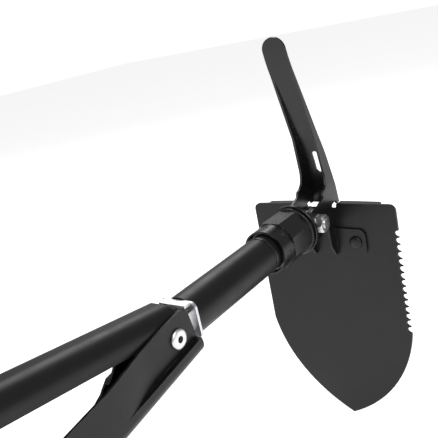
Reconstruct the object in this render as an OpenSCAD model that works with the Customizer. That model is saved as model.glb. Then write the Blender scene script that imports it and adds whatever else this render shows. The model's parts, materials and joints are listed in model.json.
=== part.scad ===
// Folding camp shovel with a pick: a short tube, a screw collar that locks the head, a blade and a pick
// that turn on one bolt, and a grip of two channel arms on one hollow rivet.
// +X runs along the tube to the blade, +Z is the pick's side, the saw teeth are on -Y.

/* [Tube] */
// Outside diameter of the tube
tube_d = 22; // [20:0.5:24]
// Wall of the tube
tube_wall = 1.2; // [1:0.1:1.6]
// Length of the tube in front of the handle bracket
tube_l = 105; // [100:1:107]

/* [Head] */
// Distance from the handle bracket to the pivot bolt
pivot_x = 124; // [123:0.5:126]
// Diameter of the pivot bolt
bolt_d = 6; // [5:0.5:6]
// Radius of the ears round the pivot bolt
ear_r = 10.4; // [9:0.1:10.5]
// Thickness of the head's sheet steel
sheet_t = 1.5; // [1.2:0.1:1.6]

/* [Blade] */
// Distance from the pivot bolt to the blade's rear face
blade_offset = 25; // [24:0.5:28]
// Width of the blade at its widest
blade_w = 104; // [90:1:110]
// Height of the blade's top edge over the bolt
blade_top = 4; // [1:0.5:4]
// Depth of the bolt over the bend in the blade's sides
blade_kink = 86; // [80:1:95]
// Depth of the blade's point under the bolt
blade_tip = 160; // [150:1:170]
// How far the blade's sides curve towards the handle
blade_cup = 2.5; // [2:0.5:5]
// Number of saw teeth
teeth = 15; // [10:1:15]
// Distance between two saw teeth
tooth_pitch = 4.8; // [4.6:0.1:4.8]

/* [Pick] */
// Height of the pick's tip over the bolt
pick_l = 113; // [105:1:116]
// Width of the pick at the bolt
pick_w = 20; // [20:0.2:21]
// How far the pick stands in front of the bolt
pick_reach = 32; // [31:0.5:33]
// How far the pick leans back from square to the tube
pick_lean = 8; // [2:1:9]

/* [Collar] */
// Length of the locking collar
collar_l = 36; // [32:1:38]
// Diameter of the collar's flange
flange_d = 32; // [31:0.5:32]
// Width of the collar across its flats
collar_flats = 27.4; // [27:0.1:27.6]

/* [Handle] */
// Distance from the bracket's plate back to the rivet
rivet_x = 16.5; // [15:0.5:18]
// Height of the rivet over the tube's axis
rivet_z = 1; // [0:0.5:3]
// Length of each arm from the rivet
arm_l = 122; // [110:1:140]
// Angle of each arm from the closed grip
arm_spread = 9; // [4:1:10]
// Distance from the rivet to the outer arm's crown
arm_depth = 16.2; // [15.6:0.2:17]
// Thickness of the arms' sheet steel
arm_t = 1.2; // [1:0.1:1.3]

/* [Hidden] */
$fn = 64;
eps = 0.01;
fit = 0.05;

tube_r = tube_d / 2;
bore_r = tube_r - tube_wall;
bolt_r = bolt_d / 2;

// stack across the pivot, from the middle outwards
tongue_h = 6.4;
shim_t = 0.4;
blade_ear_y = tongue_h + shim_t;
pick_ear_y = pick_w / 2 - sheet_t;

// stack across the handle rivet, from the middle outwards
plate_t = 1.5;
plate_w = 22;
plate_h = 19;
plate_drop = 0.5;
leg_y = 8.5;
leg_h = 9.4;
washer_t = 0.3;
rivet_r = 3;

// the outer arm stands one sheet outside the inner one, and the inner one closes into it
inner_y = 10.5;
inner_depth = 14.6;
inner_edge = 2.5;
inner_corner = 9;
inner_l = arm_l - 2;
outer_ear_y = 12.2;
outer_grip_y = 15.2;
outer_lip = 10.5;
outer_corner = 6.5;
far_edge = arm_depth - 2.6;
arm_nose = 11;
inner_nose = 4;

// collar
front_x = pivot_x - 11;
thread_r = tube_r + 1.1;
collar_bore = thread_r + 0.4;
mouth_r = collar_bore + 0.9;
flange_t = 2.4;
ring_t = 2;
collar_lip_r = 9.6;
lip_t = 1.2;
nose_r = 8;
collar_travel = 4;

// blade shell: two concentric cylinders whose axis stands behind the blade
cup_r = (pow(blade_w / 2, 2) + pow(blade_cup, 2)) / (2 * blade_cup);
blade_t = 1.6;
bracket_t = 1.5;
point_r = 100;
rivet_spacing = 44;
rivet_drop = 22;
tread_l = 5;
tread_half = 40;
notch_half = 10.7;
notch_z = blade_top - 3.5;
corner_r = 4;
tooth_depth = 2.6;

// the box that the origin stands under
pick_foot = 1.5;
tail_x = rivet_x + arm_l * cos(arm_spread) + outer_lip * sin(arm_spread);
front_face = pivot_x + max(blade_offset + tread_l, pick_reach * cos(pick_lean) + pick_foot * sin(pick_lean));
mid_x = (front_face - tail_x) / 2;

module place() { translate([-mid_x, 0, blade_tip]) children(); }
module at_pivot() { place() translate([pivot_x, 0, 0]) children(); }
module at_rivet() { place() translate([-rivet_x, 0, rivet_z]) children(); }

// a bar or hole along X, from x0 to x1
module rod_x(r, x0, x1) { translate([x0, 0, 0]) rotate([0, 90, 0]) cylinder(r = r, h = x1 - x0); }
// a bar or hole across, from y0 to y1
module rod_y(r, y0, y1) { translate([0, y1, 0]) rotate([90, 0, 0]) cylinder(r = r, h = y1 - y0); }
module both_sides() { children(); mirror([0, 1, 0]) children(); }
// a plate seen from the side, drawn in X and Z, from y0 to y1
module side_plate(y0, y1) { translate([0, y1, 0]) rotate([90, 0, 0]) linear_extrude(y1 - y0) children(); }
// a plate seen from the front, drawn in Y and Z, from x0 to x1
module front_plate(x0, x1) {
    translate([x0, 0, 0]) rotate([90, 0, 90]) linear_extrude(x1 - x0) children();
}
module round_rect(w, h, r) {
    square([w - 2 * r, h], center = true);
    square([w, h - 2 * r], center = true);
    for (x = [-1, 1], y = [-1, 1]) translate([x * (w / 2 - r), y * (h / 2 - r)]) circle(r);
}

// ---------- tube and what is fixed to it ----------

module tube() {
    color([0.10, 0.10, 0.11]) place() difference() {
        rod_x(tube_r, plate_t, tube_l);
        rod_x(bore_r, 0, tube_l + 1);
        for (x = [-1, 1]) translate([tube_l - 12 + 6 * x, 0, 0]) rod_y(1.55, -20, 20);
    }
}

module end_plug() {
    color([0.35, 0.35, 0.36]) place() difference() {
        rod_x(bore_r - fit, plate_t, 20);
        rod_x(2.5, 0, 16);
    }
}

module bracket_screw() {
    color([0.75, 0.75, 0.77]) place() difference() {
        union() {
            rod_x(4.5, -2.2, 0);
            rod_x(2.45, -1, 14);
        }
        translate([-2.2, 0, 0]) cube([2, 1.2, 10], center = true);
    }
}

// the bracket: a plate on the tube's end, two legs for the rivet, and its top edge bent back as a hood
module handle_bracket() {
    hood_l = 3.8;
    hood_half = 8;
    color([0.80, 0.80, 0.82]) place() difference() {
        union() {
            translate([0, 0, rivet_z - plate_drop]) front_plate(0, plate_t) round_rect(plate_w, plate_h, 3);
            translate([-hood_l, -hood_half, rivet_z - plate_drop + plate_h / 2 - plate_t])
                cube([hood_l + eps, 2 * hood_half, plate_t]);
            both_sides() translate([0, 0, rivet_z]) side_plate(leg_y - plate_t, leg_y) {
                translate([-rivet_x, 0]) circle(5.6);
                translate([-rivet_x, -leg_h / 2]) square([rivet_x + eps, leg_h]);
            }
        }
        rod_x(2.55, -1, plate_t + 1);
        translate([-rivet_x, 0, rivet_z]) rod_y(rivet_r + fit, -20, 20);
        translate([plate_t / 2, 0, rivet_z + 5.6]) cube([4, 9, 2.2], center = true);
    }
}

module handle_pin() {
    head_y = outer_ear_y + washer_t;
    color([0.82, 0.82, 0.84]) at_rivet() difference() {
        union() {
            rod_y(rivet_r, -head_y - 1, head_y + 1);
            both_sides() translate([0, head_y, 0]) rotate([-90, 0, 0]) rotate_extrude()
                polygon([[0, 0], [4.85, 0], [4.85, 0.5], [4.4, 1.1], [3.4, 1.4], [0, 1.4]]);
        }
        rod_y(1.6, -20, 20);
    }
}

module pin_spacer() {
    color([0.45, 0.45, 0.46]) at_rivet() difference() {
        rod_y(4.6, -leg_y + plate_t, leg_y - plate_t);
        rod_y(rivet_r + fit, -20, 20);
    }
}

module pin_washers() {
    color([0.70, 0.70, 0.72]) at_rivet() both_sides() difference() {
        rod_y(4.6, outer_ear_y + fit, outer_ear_y + washer_t);
        rod_y(rivet_r + fit, 0, 20);
    }
}

// ---------- the two arms ----------

// planform of the outer arm: narrow ears at the rivet that swell to the grip
module arm_plan(inset) {
    from = 16;
    to = 44;
    steps = 12;
    swell = [for (i = [0:steps])
        let (s = i / steps)
        [-(from + (to - from) * s),
            outer_ear_y - inset + (outer_grip_y - outer_ear_y) * s * s * (3 - 2 * s)]];
    half = concat([[arm_nose + 6, outer_ear_y - inset]], swell, [[-arm_l - 6, outer_grip_y - inset]]);
    polygon(concat(half, turn(flip_down(half))));
}

function flip_down(points) = [for (p = points) [p[0], -p[1]]];

// cross-section of an arm's crown, drawn in Y and Z
module crown_shape(half, base, top, r) {
    translate([-half, base]) square([2 * half, top - r - base]);
    intersection() {
        union() {
            translate([-half + r, base]) square([2 * (half - r), top - base]);
            for (s = [-1, 1]) translate([s * (half - r), top - r]) circle(r);
        }
        translate([-half, base]) square([2 * half, top - base]);
    }
}

// side view of the outer arm, drawn in X and Z: rounded nose and rounded tail
module outer_side() {
    nose_corner = 5;
    tail_corner = 9;
    chin = 3;
    difference() {
        translate([-arm_l, -outer_lip]) square([arm_l + arm_nose, outer_lip + arm_depth]);
        translate([arm_nose - nose_corner, -outer_lip - 1]) square([nose_corner + 1, nose_corner + 1]);
        translate([-arm_l - 1, arm_depth - tail_corner]) square([tail_corner + 1, tail_corner + 1]);
        translate([arm_nose - chin, arm_depth - chin]) square([chin + 1, chin + 1]);
    }
    translate([arm_nose - nose_corner, -outer_lip + nose_corner]) circle(nose_corner);
    translate([-arm_l + tail_corner, arm_depth - tail_corner]) circle(tail_corner);
    translate([arm_nose - chin, arm_depth - chin]) circle(chin);
}

// what is left out of the outer arm's far wall, drawn in X and Z: it drops behind a round ear to the crown
module far_gap() {
    above = -outer_lip - 1;
    polygon([[arm_nose + 1, above], [arm_nose + 1, -6.5], [5, -8], [-5, -8], [-10, -6.2], [-16, -1],
        [-24, 7], [-31, 11.4], [-40, far_edge], [-arm_l - 1, far_edge], [-arm_l - 1, above]]);
}

module handle_arm_outer() {
    shelf = 7.5;
    color([0.08, 0.08, 0.09]) at_rivet() rotate([0, -arm_spread, 0]) mirror([0, 0, 1]) difference() {
        intersection() {
            union() {
                translate([0, 0, -outer_lip]) linear_extrude(outer_lip + shelf + eps) arm_plan(0);
                front_plate(-arm_l, arm_nose) crown_shape(outer_grip_y, shelf, arm_depth, outer_corner);
            }
            side_plate(-20, 20) outer_side();
        }
        translate([0, 0, -outer_lip - 1]) linear_extrude(outer_lip + shelf + arm_t + 1 + eps)
            arm_plan(arm_t);
        front_plate(-arm_l + arm_t, arm_nose + 1)
            crown_shape(outer_grip_y - arm_t, shelf + arm_t, arm_depth - arm_t, outer_corner - arm_t);
        side_plate(0, 20) far_gap();
        // the end wall slopes from the near wall's edge to the far one's
        front_plate(-arm_l - 1, -arm_l + arm_t + 1)
            polygon([[arm_t - outer_grip_y, -outer_lip - 1], [1, -outer_lip - 1], [1, 4]]);
        rod_y(rivet_r + fit, -20, 20);
    }
}

// side view of the inner arm: a shallow channel with round ears under it at the rivet
module inner_side() {
    ear = 7;
    tail_corner = 8;
    chin = 3;
    difference() {
        translate([-inner_l, inner_edge]) square([inner_l + inner_nose, inner_depth - inner_edge]);
        translate([-inner_l - 1, inner_depth - tail_corner]) square([tail_corner + 1, tail_corner + 1]);
        translate([inner_nose - chin, inner_depth - chin]) square([chin + 1, chin + 1]);
    }
    translate([-inner_l + tail_corner, inner_depth - tail_corner]) circle(tail_corner);
    translate([inner_nose - chin, inner_depth - chin]) circle(chin);
    circle(ear);
    polygon([[-19, inner_edge + 1], [-19, inner_edge], [-15.5, inner_edge - 0.8], [-12, inner_edge - 3],
        [-4.6, -5.2], [4.6, -5.2], [6.4, 2.8], [inner_nose, 6.5], [inner_nose - 1, inner_edge + 1]]);
}

module handle_arm_inner() {
    color([0.09, 0.09, 0.10]) at_rivet() rotate([0, arm_spread, 0]) difference() {
        intersection() {
            front_plate(-inner_l, arm_nose) crown_shape(inner_y, -8, inner_depth, inner_corner);
            side_plate(-20, 20) inner_side();
        }
        front_plate(-inner_l + arm_t, arm_nose + 1)
            crown_shape(inner_y - arm_t, -9, inner_depth - arm_t, inner_corner - arm_t);
        rod_y(rivet_r + fit, -20, 20);
    }
}

// ---------- head ----------

module head_block() {
    tongue_x = front_x - 1;
    color([0.25, 0.25, 0.26]) place() difference() {
        union() {
            rod_x(bore_r - fit, tube_l - 26, tube_l);
            rod_x(nose_r, tube_l - 1, pivot_x - 11.5);
            intersection() {
                union() {
                    translate([pivot_x, 0, 0]) rod_y(8, -tongue_h, tongue_h);
                    translate([tongue_x, -tongue_h, -7]) cube([pivot_x - tongue_x, 2 * tongue_h, 14]);
                }
                rod_x(12, tongue_x, pivot_x + 12);
            }
        }
        translate([pivot_x, 0, 0]) rod_y(bolt_r + fit, -20, 20);
        for (x = [-1, 1]) translate([tube_l - 12 + 6 * x, 0, 0]) rod_y(1.55, -20, 20);
    }
}

module head_pins() {
    color([0.60, 0.60, 0.62]) place()
        for (x = [-1, 1]) translate([tube_l - 12 + 6 * x, 0, 0]) rod_y(1.5, -tube_r + 0.6, tube_r - 0.6);
}

module thread_sleeve() {
    crest = 1.6;
    x0 = front_x - collar_l + 2.5;
    color([0.62, 0.62, 0.63]) place() difference() {
        rod_x(thread_r, x0, tube_l);
        rod_x(tube_r + fit, x0 - 1, tube_l + 1);
        for (x = [x0 + crest:crest:tube_l - 1]) translate([x, 0, 0]) rotate([0, 90, 0])
            rotate_extrude() translate([thread_r + 0.1, 0]) rotate(45) square(0.8, center = true);
    }
}

module stop_ring() {
    x0 = front_x - collar_l - collar_travel - 1.3;
    color([0.08, 0.08, 0.09]) place() difference() {
        rod_x(tube_r + 0.35, x0, x0 + 1);
        rod_x(tube_r + fit, x0 - 1, x0 + 3);
    }
}

module thrust_ring() {
    color([0.55, 0.55, 0.56]) place() difference() {
        rod_x(collar_bore - 0.4, front_x - lip_t - 0.3 - ring_t, front_x - lip_t - 0.3);
        rod_x(nose_r + 0.3, 0, front_x);
    }
}

module locking_collar() {
    back = front_x - collar_l;
    oct_r = collar_flats / 2 / cos(22.5);
    color([0.09, 0.09, 0.10]) place() difference() {
        union() {
            rod_x(mouth_r, back, front_x - 1);
            translate([back + 11, 0, 0]) rotate([0, 90, 0]) rotate(22.5)
                cylinder(r = oct_r, h = collar_l - 12, $fn = 8);
            translate([front_x - flange_t, 0, 0]) rotate([0, 90, 0]) rotate_extrude()
                polygon([[0, 0], [flange_d / 2 - 0.4, 0], [flange_d / 2, 0.4],
                    [flange_d / 2, flange_t - 0.4], [flange_d / 2 - 0.4, flange_t], [0, flange_t]]);
            translate([front_x - 5.2, 0, 0]) rotate([0, 90, 0]) rotate_extrude()
                polygon([[0, 0], [oct_r - 0.3, 0], [oct_r + 0.3, 0.5], [oct_r + 0.3, 1.2],
                    [oct_r - 0.3, 1.7], [0, 1.7]]);
        }
        rod_x(collar_bore, back - 1, front_x - lip_t);
        rod_x(collar_lip_r, back, front_x + 1);
        for (a = [0:45:315]) rotate([a, 0, 0]) translate([back + 7, 0, mouth_r + 0.5]) sphere(1, $fn = 24);
    }
}

module pivot_bolt() {
    color([0.78, 0.78, 0.80]) at_pivot() union() {
        rod_y(bolt_r, -16.2, pick_w / 2 + 1.2);
        translate([0, pick_w / 2 + 0.9, 0]) rotate([-90, 0, 0]) rotate_extrude()
            polygon([[0, 0], [5.6, 0], [5.6, 1.2], [4.6, 2.6], [2.6, 3.4], [0, 3.6]]);
    }
}

module pivot_nut() {
    color([0.82, 0.82, 0.84]) at_pivot() difference() {
        intersection() {
            translate([0, -pick_w / 2 - 0.9, 0]) rotate([90, 0, 0]) cylinder(r = 5.7, h = 4.6, $fn = 6);
            translate([0, -pick_w / 2 - 0.9, 0]) rotate([90, 0, 0]) rotate_extrude()
                polygon([[0, 0], [5.3, 0], [5.7, 0.4], [5.7, 3.9], [5.0, 4.6], [0, 4.6]]);
        }
        rod_y(bolt_r + fit / 2, -20, 20);
    }
}

module pivot_washers() {
    color([0.72, 0.72, 0.74]) at_pivot() both_sides() difference() {
        rod_y(5.8, pick_w / 2 + 0.1, pick_w / 2 + 0.85);
        rod_y(bolt_r + fit, 0, 20);
    }
}

module pivot_spacers() {
    color([0.50, 0.50, 0.52]) at_pivot() both_sides() difference() {
        rod_y(7, tongue_h + 0.05, blade_ear_y - 0.05);
        rod_y(bolt_r + fit, 0, 20);
    }
}

// ---------- pick ----------

// front of the pick's web, drawn in X and Z: upright, bent back by taper, then upright again at the tip
taper = 13;
bend_z = 18;
bend_r = 110;
tip_bend_r = 80;
tip_run = 4;
web_t = 1.6;
run_l = (pick_l - tip_run - bend_z - (bend_r + tip_bend_r) * sin(taper)) / cos(taper);

function on_arc(r, a) = r * [cos(a), sin(a)];

function web_line(inset) =
    let (low = [pick_reach - bend_r, bend_z],
         high = low + on_arc(bend_r, taper) + run_l * [-sin(taper), cos(taper)] + on_arc(tip_bend_r, taper))
    concat([[pick_reach - inset, -pick_foot]],
        [for (i = [0:10]) low + on_arc(bend_r - inset, taper * i / 10)],
        [for (i = [10:-1:0]) high - on_arc(tip_bend_r + inset, taper * i / 10)],
        [[high[0] - tip_bend_r - inset, pick_l + 1]]);

module pick_face(inset) {
    tip_r = 7.5;
    half = [[pick_w / 2, -12], [pick_w / 2, 11], [8.8, 25], [8.1, 46], [7.8, 80], [tip_r, pick_l - tip_r]];
    right = [for (p = half) [p[0] - inset, p[1]]];
    polygon(concat(right, turn(flip(right))));
    translate([0, pick_l - tip_r]) circle(tip_r - inset);
}

// side view of the pick: round ears at the bolt and a channel that grows shallow towards the tip
module pick_side() {
    cheek_x = pick_reach - 9;
    cheek_end = 66;
    // the cheeks step over the bottom of the blade's notch
    step_x = blade_offset + blade_t + 1.4;
    step_z = notch_z + 0.7;
    circle(ear_r);
    polygon(concat(web_line(0), [for (p = turn(web_line(web_t))) if (p[1] > cheek_end) p],
        [[cheek_x, 47], [cheek_x, 22], [cheek_x - 0.6, 19], [cheek_x - 2.2, 15.8], [cheek_x - 4.6, 14.3],
            [15.6, 13.8], [14.6, 12.6], [14, 10.8], [5, 9], [4, -9.5], [14, -5.5], [22.5, step_z],
            [step_x, step_z], [step_x + 0.8, -pick_foot]]));
}

module pick() {
    slot_y = -2;
    slot_r = 2.4;
    slot_z = [22.8, 33.2];
    color([0.08, 0.08, 0.09]) at_pivot() rotate([0, -pick_lean, 0]) difference() {
        intersection() {
            side_plate(-20, 20) pick_side();
            front_plate(-20, 40) pick_face(0);
        }
        intersection() {
            side_plate(-20, 20) polygon(concat([[-30, -30], [pick_reach - web_t, -30]], web_line(web_t),
                [[-30, pick_l + 1]]));
            front_plate(-20, 40) pick_face(sheet_t);
        }
        rod_y(bolt_r + fit, -20, 20);
        for (z = slot_z) translate([0, slot_y, z]) rod_x(slot_r, 24, 40);
        translate([24, slot_y - slot_r, slot_z[0]]) cube([16, 2 * slot_r, slot_z[1] - slot_z[0]]);
    }
}

// ---------- blade ----------

// a shell that follows the blade's curve, from d0 to d1 in front of the blade's rear face
module cupped(d0, d1) {
    translate([blade_offset - cup_r, 0, -blade_tip - 5]) difference() {
        cylinder(r = cup_r + d1, h = blade_tip + 30, $fn = 180);
        translate([0, 0, -1]) cylinder(r = cup_r + d0, h = blade_tip + 32, $fn = 180);
    }
}

// the two rivets' places, square to the blade's rear face
module at_blade_rivets() {
    for (s = [-1, 1]) translate([blade_offset - cup_r, 0, -rivet_drop])
        rotate([0, 0, s * asin(rivet_spacing / 2 / cup_r)]) translate([cup_r, 0, 0]) children();
}

// half of the blade's outline under the bend is an arc of radius point_r from the bend to the point
function point_centre() =
    let (dy = -blade_w / 2, dz = -(blade_tip - blade_kink),
         chord = norm([dy, dz]), back = sqrt(point_r * point_r - chord * chord / 4))
    [blade_w / 4 + back * dz / chord, -(blade_tip + blade_kink) / 2 - back * dy / chord];

// the arc itself, from the bend down to the point
function point_arc(steps) =
    let (c = point_centre(),
         a0 = atan2(-blade_kink - c[1], blade_w / 2 - c[0]), a1 = atan2(-blade_tip - c[1], -c[0]))
    [for (i = [0:steps]) let (a = a0 + (a1 - a0) * i / steps) c + point_r * [cos(a), sin(a)]];

function corner_arc() = [for (a = [0:15:90])
    [blade_w / 2 - 1 - corner_r * (1 - cos(a)), blade_top - corner_r * (1 - sin(a))]];

// the side's distance from the middle at a height z
function side_y(z) = blade_w / 2 - 1 + z / -blade_kink;

// one round gullet between two teeth, from its top to its bottom
function gullet(z) = [for (a = [90:-30:-90])
    [side_y(z) - tooth_depth * cos(a), z + (tooth_pitch / 2 - 0.15) * sin(a)]];

function flip(points) = [for (p = points) [-p[0], p[1]]];
function turn(points) = [for (i = [len(points) - 1:-1:0]) points[i]];

// right half of the notch that lets the pick's foot through the top edge
function notch_side() = [[notch_half + 1.4, blade_top], [notch_half + 0.4, blade_top - 0.4],
    [notch_half, blade_top - 1.4], [notch_half, notch_z + 1.4], [notch_half - 0.4, notch_z + 0.4],
    [notch_half - 1.4, notch_z]];

module blade_face() {
    saw = [for (i = [teeth - 1:-1:0]) each gullet(-blade_kink + 1.6 + (i + 0.5) * tooth_pitch)];
    polygon(concat(corner_arc(), notch_side(), turn(flip(notch_side())), turn(flip(corner_arc())),
        flip(saw), flip(point_arc(18)), [for (i = [17:-1:0]) point_arc(18)[i]]));
}

module blade() {
    tread_start = notch_half + 1.4;
    color([0.10, 0.10, 0.11]) at_pivot() union() {
        difference() {
            intersection() {
                cupped(0, blade_t);
                front_plate(-20, 60) blade_face();
            }
            at_blade_rivets() rod_x(2.3, -9, 9);
        }
        // foot tread: the top edge is bent forwards on both sides of the pick
        intersection() {
            cupped(blade_t - eps, tread_l);
            front_plate(-20, 60) for (s = [-1, 1])
                translate([s * (tread_half + tread_start) / 2, blade_top - blade_t / 2 - eps / 2])
                    square([tread_half - tread_start, blade_t - eps], center = true);
        }
    }
}

module blade_bracket() {
    flange_half = 29;
    color([0.07, 0.07, 0.08]) at_pivot() difference() {
        union() {
            intersection() {
                cupped(-bracket_t, -0.02);
                front_plate(-20, 60) translate([0, -rivet_drop]) round_rect(2 * flange_half, 18, 5);
            }
            intersection() {
                both_sides() side_plate(blade_ear_y, blade_ear_y + sheet_t) {
                    circle(ear_r);
                    polygon([[0, ear_r - 0.2], [8, 5.4], [blade_offset - 0.4, 2], [blade_offset - 0.4, -31],
                        [blade_offset - 4, -31], [16.4, -24], [15.4, -10.6], [7, -ear_r + 1], [0, -ear_r]]);
                }
                translate([blade_offset - cup_r, 0, -50]) cylinder(r = cup_r - 0.02, h = 80, $fn = 180);
            }
        }
        rod_y(bolt_r + fit, -20, 20);
        at_blade_rivets() rod_x(2.3, -9, 9);
    }
}

module blade_rivets() {
    gap = 0.12;
    color([0.07, 0.07, 0.08]) at_pivot() at_blade_rivets() union() {
        rod_x(2.2, -bracket_t - 1, blade_t + 1);
        translate([-bracket_t - gap, 0, 0]) rotate([0, -90, 0]) rotate_extrude()
            polygon([[0, 0], [4.3, 0], [4.1, 0.8], [3.3, 1.5], [2, 1.9], [0, 2.1]]);
        translate([blade_t + gap, 0, 0]) rotate([0, 90, 0]) rotate_extrude()
            polygon([[0, 0], [3.6, 0], [3.3, 0.6], [2, 1], [0, 1.1]]);
    }
}

tube();
end_plug();
bracket_screw();
handle_bracket();
handle_pin();
pin_spacer();
pin_washers();
handle_arm_outer();
handle_arm_inner();
head_block();
head_pins();
thread_sleeve();
stop_ring();
thrust_ring();
locking_collar();
pivot_bolt();
pivot_nut();
pivot_washers();
pivot_spacers();
pick();
blade();
blade_bracket();
blade_rivets();
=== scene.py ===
"""The looks of a folding camp shovel: black powder-coated steel with bright zinc hardware."""
import json
import math

import bmesh
import bpy
from mathutils import Matrix, Vector


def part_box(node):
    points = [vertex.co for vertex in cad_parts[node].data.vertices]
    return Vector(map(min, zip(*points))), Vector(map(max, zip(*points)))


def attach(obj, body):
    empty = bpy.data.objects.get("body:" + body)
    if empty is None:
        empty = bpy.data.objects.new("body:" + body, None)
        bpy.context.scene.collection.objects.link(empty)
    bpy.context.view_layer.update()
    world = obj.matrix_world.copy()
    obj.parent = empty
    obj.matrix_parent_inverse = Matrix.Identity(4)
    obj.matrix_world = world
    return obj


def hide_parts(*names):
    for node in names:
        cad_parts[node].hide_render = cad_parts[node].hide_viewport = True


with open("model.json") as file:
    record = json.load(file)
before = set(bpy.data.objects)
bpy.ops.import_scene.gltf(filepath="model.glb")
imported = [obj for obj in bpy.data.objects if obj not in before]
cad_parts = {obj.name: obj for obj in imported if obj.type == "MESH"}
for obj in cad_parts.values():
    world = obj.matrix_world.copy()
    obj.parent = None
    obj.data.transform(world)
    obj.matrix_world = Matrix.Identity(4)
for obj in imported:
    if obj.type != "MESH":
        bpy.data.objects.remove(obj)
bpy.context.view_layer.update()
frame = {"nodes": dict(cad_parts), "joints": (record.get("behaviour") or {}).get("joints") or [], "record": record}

MM = 0.001
FULL_FRAME = 36.0  # width of the camera's sensor, in millimetres
WELD = 0.004 * MM  # points closer than this are one point
FLOOR_DROP = 2 * MM  # the floor lies this far under the object
SUBJECT = (0, 0, 0.15)  # the lamps point here
PIVOT = Vector(next(j["pos_m"] for j in frame["joints"] if j["name"] == "pick_fold"))


# ---------- camera and light ----------

def add_camera(offset, azimuth, elevation, roll, focal):
    """A camera at offset from the pivot bolt.

    Azimuth 0 looks along +Y and 90 along -X; roll leans the camera over.
    """
    az, el = math.radians(azimuth), math.radians(elevation)
    ahead = Vector((-math.sin(az) * math.cos(el), math.cos(az) * math.cos(el), -math.sin(el)))
    right = ahead.cross(Vector((0, 0, 1))).normalized()
    up = right.cross(ahead)
    turn = Matrix((right, up, -ahead)).transposed() @ Matrix.Rotation(math.radians(roll), 3, "Z")
    data = bpy.data.cameras.new("camera")
    data.sensor_width = FULL_FRAME
    data.lens = focal
    data.clip_start = 0.01
    data.clip_end = 20.0
    camera = bpy.data.objects.new("camera", data)
    camera.matrix_world = Matrix.Translation(PIVOT + offset) @ turn.to_4x4()
    bpy.context.scene.collection.objects.link(camera)
    bpy.context.scene.camera = camera


def add_softbox(name, place, aim, width, height, power):
    data = bpy.data.lights.new(name, "AREA")
    data.shape = "RECTANGLE"
    data.size = width
    data.size_y = height
    data.energy = power
    lamp = bpy.data.objects.new(name, data)
    lamp.location = place
    lamp.rotation_euler = (Vector(aim) - Vector(place)).to_track_quat("-Z", "Y").to_euler()
    bpy.context.scene.collection.objects.link(lamp)


def add_world(seen, lighting):
    """A white surround that lights the object less than it shows."""
    world = bpy.data.worlds.new("surround")
    bpy.context.scene.world = world
    world.use_nodes = True
    tree = world.node_tree
    tree.nodes.clear()
    path = tree.nodes.new("ShaderNodeLightPath")
    strength = tree.nodes.new("ShaderNodeMapRange")
    strength.inputs["To Min"].default_value = lighting
    strength.inputs["To Max"].default_value = seen
    tree.links.new(path.outputs["Is Camera Ray"], strength.inputs["Value"])
    back = tree.nodes.new("ShaderNodeBackground")
    back.inputs["Color"].default_value = (1, 1, 1, 1)
    tree.links.new(strength.outputs["Result"], back.inputs["Strength"])
    out = tree.nodes.new("ShaderNodeOutputWorld")
    tree.links.new(back.outputs["Background"], out.inputs["Surface"])


bpy.context.scene.view_settings.view_transform = "Standard"
add_camera(Vector((-307, -189, 129)) * MM, azimuth=-50.2, elevation=17.8, roll=-12.4, focal=49.7)
add_world(seen=1.05, lighting=0.32)
add_softbox("key", (-0.5, -0.9, 1.3), SUBJECT, width=0.9, height=0.9, power=13)
add_softbox("rim", (0.7, 0.5, 1.1), SUBJECT, width=0.6, height=1.0, power=7)
add_softbox("fill", (-1.2, 0.5, 0.6), SUBJECT, width=0.8, height=0.8, power=4)


# ---------- materials ----------

RUBBED_EDGE_AND_HIGHLIGHT = (0.11, 0.11, 0.112)  # dark steel where the black coat has rubbed thin at edges, and partly a painted highlight along those edges

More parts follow.
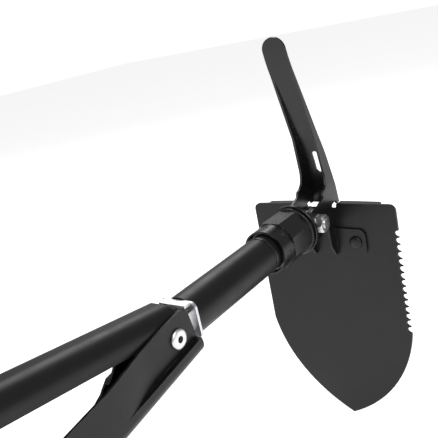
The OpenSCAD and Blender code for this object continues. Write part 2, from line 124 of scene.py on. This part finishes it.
class Nodes:
    """Short calls for building a node tree."""

    def __init__(self, name):
        self.material = bpy.data.materials.new(name)
        self.material.use_nodes = True
        self.tree = self.material.node_tree
        self.tree.nodes.clear()
        self.shader = self.add("BsdfPrincipled")
        out = self.add("OutputMaterial")
        self.link(self.shader.outputs["BSDF"], out.inputs["Surface"])
        self.place = self.add("TexCoord").outputs["Object"]

    def add(self, kind):
        return self.tree.nodes.new("ShaderNode" + kind)

    def link(self, a, b):
        self.tree.links.new(a, b)

    def noise(self, scale, detail=3.0, stretch=None):
        """Noise of a size in patches to the metre; stretch lengthens it along an axis."""
        node = self.add("TexNoise")
        node.inputs["Scale"].default_value = scale
        node.inputs["Detail"].default_value = detail
        where = self.place
        if stretch:
            mapping = self.add("Mapping")
            mapping.inputs["Scale"].default_value = stretch
            self.link(self.place, mapping.inputs["Vector"])
            where = mapping.outputs["Vector"]
        self.link(where, node.inputs["Vector"])
        return node.outputs["Fac"]

    def ramp(self, value, low, high, to_low=0.0, to_high=1.0):
        node = self.add("MapRange")
        ends = {"From Min": low, "From Max": high, "To Min": to_low, "To Max": to_high}
        for name, number in ends.items():
            node.inputs[name].default_value = number
        self.link(value, node.inputs["Value"])
        return node.outputs["Result"]

    def times(self, a, b):
        node = self.add("Math")
        node.operation = "MULTIPLY"
        for value, socket in zip((a, b), node.inputs):
            if isinstance(value, (int, float)):
                socket.default_value = value
            else:
                self.link(value, socket)
        return node.outputs["Value"]

    def plus(self, a, b):
        out = self.times(a, b)
        out.node.operation = "ADD"
        return out

    def mix(self, amount, a, b):
        node = self.add("Mix")
        node.data_type = "RGBA"
        self.link(amount, node.inputs["Factor"])
        for value, socket in zip((a, b), (node.inputs[6], node.inputs[7])):
            if isinstance(value, tuple):
                socket.default_value = (*value, 1)
            else:
                self.link(value, socket)
        return node.outputs[2]

    def edges(self, radius, low, high):
        """1 along edges sharper than the radius, 0 on open faces."""
        round_off = self.add("Bevel")
        round_off.samples = 6
        round_off.inputs["Radius"].default_value = radius
        true = self.add("NewGeometry")
        dot = self.add("VectorMath")
        dot.operation = "DOT_PRODUCT"
        self.link(round_off.outputs["Normal"], dot.inputs[0])
        self.link(true.outputs["Normal"], dot.inputs[1])
        return self.ramp(dot.outputs["Value"], low, high)

    def bump(self, height, distance):
        node = self.add("Bump")
        node.inputs["Distance"].default_value = distance
        self.link(height, node.inputs["Height"])
        self.link(node.outputs["Normal"], self.shader.inputs["Normal"])


def coated(name, colour, rough, peel, specular, edge_wear_and_highlight):
    """Black powder coat: orange peel, faint clouding, dust in scuffs, and lighter edges that are partly rubbed
    thin and partly a painted highlight.
    """
    n = Nodes(name)
    cloud = n.noise(55, 4)
    dark = tuple(c * 0.88 for c in colour)
    light = tuple(c * 1.12 for c in colour)
    base = n.mix(n.ramp(cloud, 0.25, 0.75), dark, light)
    # painted highlight: sharp edges are lightened in patches toward grey steel, partly as rubbed wear and partly
    # to stand in for the light the edges catch
    edge = n.times(n.edges(0.5 * MM, 0.97, 0.75), n.ramp(n.noise(240, 5), 0.42, 0.60))
    edge = n.times(edge, edge_wear_and_highlight)
    scuff = n.ramp(n.noise(60, 8, stretch=(1, 4, 4)), 0.72, 0.86, 0.0, 0.12)
    base = n.mix(scuff, base, tuple(c * 2.2 for c in colour))
    n.link(n.mix(edge, base, RUBBED_EDGE_AND_HIGHLIGHT), n.shader.inputs["Base Color"])
    spread = n.ramp(n.noise(120, 5), 0.3, 0.7, rough - 0.04, rough + 0.05)
    n.link(n.plus(spread, n.times(scuff, 0.5)), n.shader.inputs["Roughness"])
    n.shader.inputs["Specular IOR Level"].default_value = specular
    n.bump(n.plus(n.noise(900, 2), n.times(n.noise(2600, 2), 0.3)), peel)
    return n.material


def zinc(name):
    """Bright zinc plate: a pale blue-grey metal with a fine brushed grain and dulled patches."""
    n = Nodes(name)
    patch = n.noise(260, 5)
    colour = n.mix(n.ramp(patch, 0.35, 0.65), (0.58, 0.59, 0.61), (0.74, 0.74, 0.75))
    n.link(colour, n.shader.inputs["Base Color"])
    n.shader.inputs["Metallic"].default_value = 1.0
    grain = n.noise(1800, 3, stretch=(1, 0.15, 1))
    n.link(n.plus(n.ramp(patch, 0.3, 0.7, 0.22, 0.36), n.times(grain, 0.10)), n.shader.inputs["Roughness"])
    n.bump(grain, 0.03 * MM)
    return n.material


def plain_steel(name):
    """Oiled plain steel: darker, with machining lines round the tube's axis."""
    n = Nodes(name)
    patch = n.noise(150, 5)
    colour = n.mix(n.ramp(patch, 0.35, 0.65), (0.22, 0.21, 0.20), (0.40, 0.39, 0.38))
    n.link(colour, n.shader.inputs["Base Color"])
    n.shader.inputs["Metallic"].default_value = 1.0
    lines = n.noise(2400, 2, stretch=(1, 0.05, 0.05))
    n.link(n.ramp(lines, 0.3, 0.7, 0.28, 0.46), n.shader.inputs["Roughness"])
    n.bump(lines, 0.02 * MM)
    return n.material


MATERIALS = {
    "black_paint": coated("black_paint", colour=(0.0055, 0.0055, 0.006), rough=0.38,
                          peel=0.035 * MM, specular=0.30, edge_wear_and_highlight=0.8),
    "black_steel": coated("black_steel", colour=(0.005, 0.005, 0.0055), rough=0.28,
                          peel=0.015 * MM, specular=0.40, edge_wear_and_highlight=1.0),
    "zinc": zinc("zinc"),
    "raw_steel": plain_steel("raw_steel"),
}

SLOT_OF = {part["node"]: part["material_slot"] for part in frame["record"]["subparts"]}
BODY_OF = {node: body for body, nodes in frame["record"]["behaviour"]["bodies"].items() for node in nodes}

for node, slot in SLOT_OF.items():
    data = frame["nodes"][node].data
    data.materials.clear()
    data.materials.append(MATERIALS[slot])


# ---------- shapes ----------

def stand_for(piece, node):
    """The piece is shown in place of a CAD node, on its body and in its finish."""
    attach(piece, BODY_OF[node])
    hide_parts(node)
    piece.data.materials.clear()
    piece.data.materials.append(MATERIALS[SLOT_OF[node]])


def finished_mesh(name, source, modifiers):
    """A mesh with modifiers applied, smooth across everything but its creases."""
    worker = bpy.data.objects.new(name, source)
    bpy.context.scene.collection.objects.link(worker)
    for kind, values in modifiers:
        modifier = worker.modifiers.new(kind, kind)
        for key, value in values.items():
            setattr(modifier, key, value)
    bpy.context.view_layer.update()
    shaped = worker.evaluated_get(bpy.context.evaluated_depsgraph_get())
    done = bpy.data.meshes.new_from_object(shaped)
    worker.modifiers.clear()
    worker.data = done
    return worker


def softened(node, width, segments=3, sharp=28):
    """A copy of a CAD node as it leaves the press or the lathe: its sharp edges are rolled over."""
    bm = bmesh.new()
    bm.from_mesh(frame["nodes"][node].data)
    bmesh.ops.remove_doubles(bm, verts=bm.verts, dist=WELD)
    bmesh.ops.dissolve_degenerate(bm, edges=bm.edges, dist=WELD)
    bmesh.ops.dissolve_limit(bm, angle_limit=math.radians(0.3), verts=bm.verts, edges=bm.edges)
    for face in bm.faces:
        face.smooth = True
    mesh = bpy.data.meshes.new(node)
    bm.to_mesh(mesh)
    bm.free()
    roll = {
        "width": width, "segments": segments, "limit_method": "ANGLE",
        "angle_limit": math.radians(sharp), "harden_normals": True,
        "miter_outer": "MITER_ARC", "use_clamp_overlap": True,
    }
    shading = {"keep_sharp": True}
    piece = finished_mesh(node + "_soft", mesh, [("BEVEL", roll), ("WEIGHTED_NORMAL", shading)])
    stand_for(piece, node)


def threaded(node, pitch, depth, bore, around=120, per_turn=10):
    """A sleeve with a true right-hand helical thread over the length of a CAD node."""
    low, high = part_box(node)
    axis_z, outer = (low.z + high.z) / 2, (high.z - low.z) / 2
    along = int((high.x - low.x) / pitch * per_turn)
    bm = bmesh.new()
    rings = []
    for i in range(along + 1):
        x = low.x + (high.x - low.x) * i / along
        ring = []
        for k in range(around):
            angle = 2 * math.pi * k / around
            phase = ((x - low.x) / pitch - k / around) % 1.0
            radius = outer - depth * (0.5 + 0.5 * math.cos(2 * math.pi * phase)) ** 0.7
            ring.append(bm.verts.new((x, radius * math.cos(angle), axis_z + radius * math.sin(angle))))
        rings.append(ring)
    for x in (high.x, low.x):
        ring = []
        for k in range(around):
            angle = 2 * math.pi * k / around
            ring.append(bm.verts.new((x, bore * math.cos(angle), axis_z + bore * math.sin(angle))))
        rings.append(ring)
    for a, b in zip(rings, rings[1:] + rings[:1]):
        for k in range(around):
            n = (k + 1) % around
            bm.faces.new((a[k], b[k], b[n], a[n])).smooth = True
    bmesh.ops.recalc_face_normals(bm, faces=bm.faces)
    mesh = bpy.data.meshes.new(node)
    bm.to_mesh(mesh)
    bm.free()
    piece = bpy.data.objects.new(node + "_helix", mesh)
    bpy.context.scene.collection.objects.link(piece)
    stand_for(piece, node)


# width in millimetres of the rolled edge on each node
EDGE_ROLL = {
    "tube": 0.30, "stop_ring": 0.20, "handle_bracket": 0.35, "bracket_screw": 0.20, "handle_pin": 0.15,
    "handle_arm_outer": 0.40, "handle_arm_inner": 0.40, "head_block": 0.40, "locking_collar": 0.35,
    "pivot_bolt": 0.20, "pivot_nut": 0.25, "pick": 0.45, "blade": 0.50, "blade_bracket": 0.40,
    "blade_rivets": 0.15,
}
for node, width in EDGE_ROLL.items():
    softened(node, width * MM)

tube_low, tube_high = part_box("tube")
tube_radius = (tube_high.z - tube_low.z) / 2
threaded("thread_sleeve", pitch=2 * MM, depth=0.55 * MM, bore=tube_radius + 0.05 * MM)


# ---------- floor ----------

def add_floor(size):
    mesh = bpy.data.meshes.new("floor")
    half = size / 2
    corners = [(-half, -half, 0), (half, -half, 0), (half, half, 0), (-half, half, 0)]
    mesh.from_pydata(corners, [], [(0, 1, 2, 3)])
    floor = bpy.data.objects.new("floor", mesh)
    floor.location.z = -FLOOR_DROP
    bpy.context.scene.collection.objects.link(floor)
    n = Nodes("pale_floor")
    n.link(n.mix(n.noise(3, 2), (0.90, 0.90, 0.90), (0.94, 0.94, 0.94)), n.shader.inputs["Base Color"])
    n.shader.inputs["Roughness"].default_value = 0.9
    n.shader.inputs["Emission Color"].default_value = (1, 1, 1, 1)
    n.shader.inputs["Emission Strength"].default_value = 0.62
    mesh.materials.append(n.material)


add_floor(12.0)
